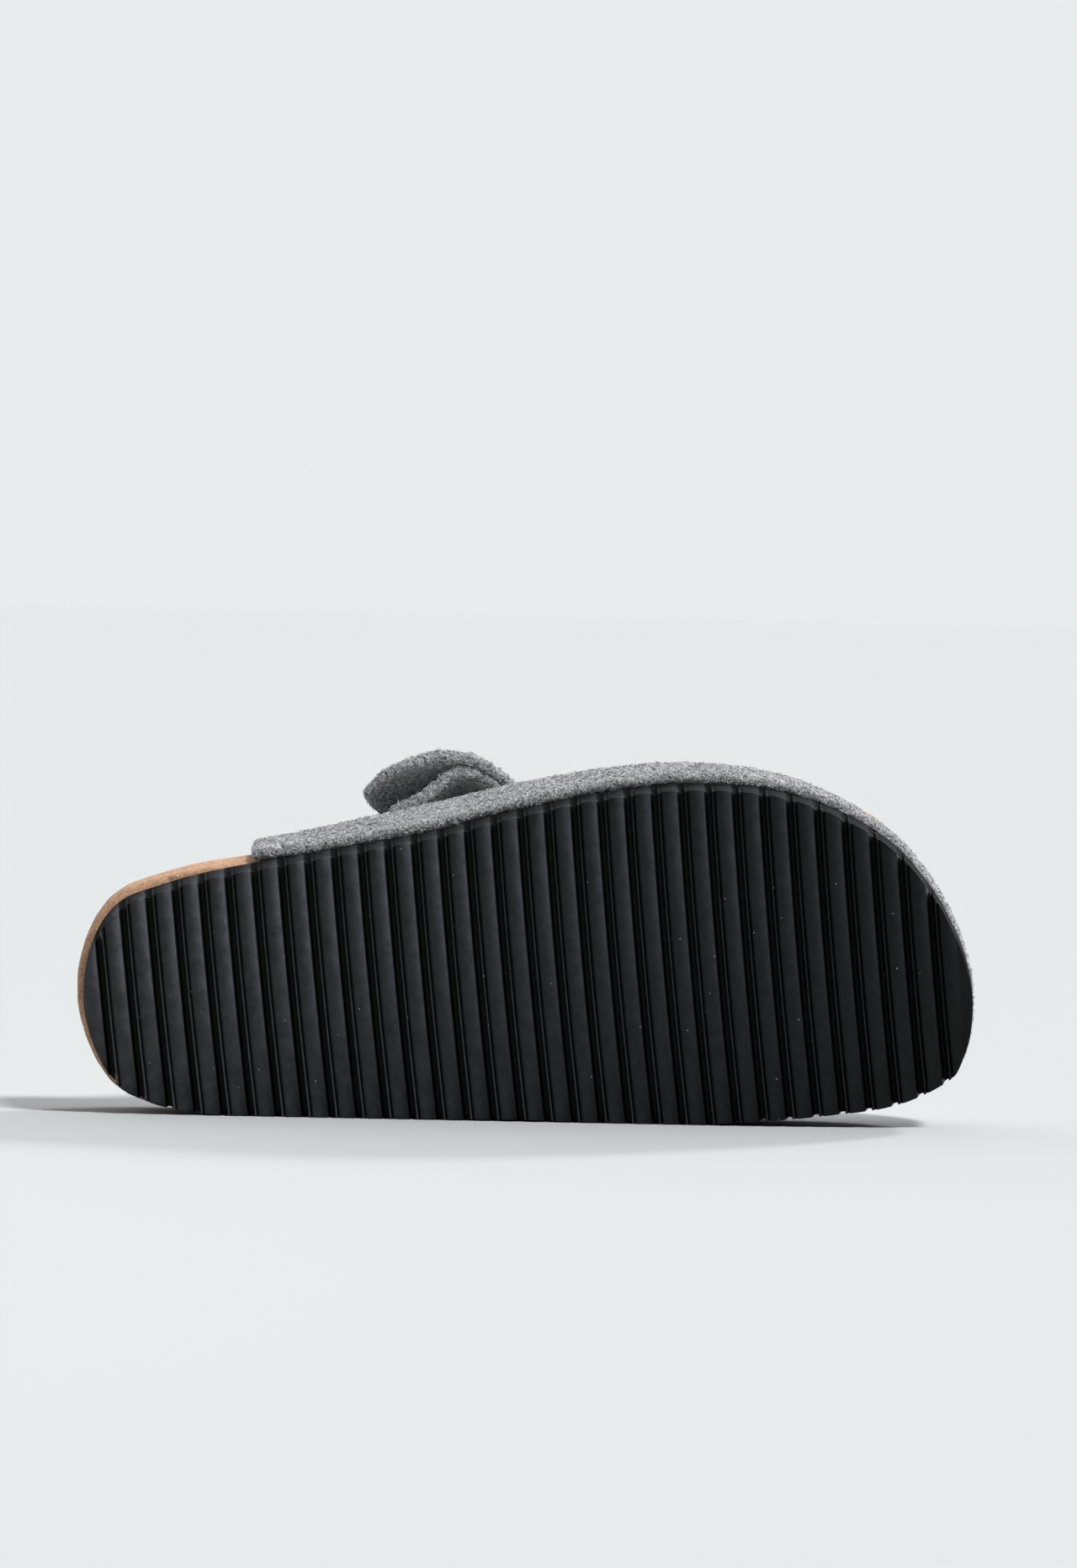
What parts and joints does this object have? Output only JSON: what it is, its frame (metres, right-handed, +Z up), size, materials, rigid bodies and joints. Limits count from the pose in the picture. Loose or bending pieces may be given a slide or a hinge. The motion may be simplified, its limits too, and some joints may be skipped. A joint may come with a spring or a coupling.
{
  "type": "felt mule clog",
  "caption": "Right felt mule clog with cork footbed, black ripple-bar foam sole and a buckled instep strap, lying on its medial side.",
  "frame": {"origin": "bottom centre of the shoe's box as it lies on its medial side", "axes": "+X from heel to toe, -Y out of the tread, +Z up, towards the lateral side"},
  "size_m": [0.2872, 0.1, 0.1164],
  "materials": {
    "foam": "satin black foam",
    "cork": "fine pressed cork",
    "lining": "napped lining",
    "felt": "mixed grey wool felt",
    "buckle_metal": "dark satin metal"
  },
  "bodies": {
    "root": {"outsole": "foam", "footbed": "cork", "insole": "lining", "upper": "felt", "instep_strap": "felt", "buckle_tab": "felt", "buckle_frame": "buckle_metal", "buckle_prong": "buckle_metal"}
  },
  "joints": []
}
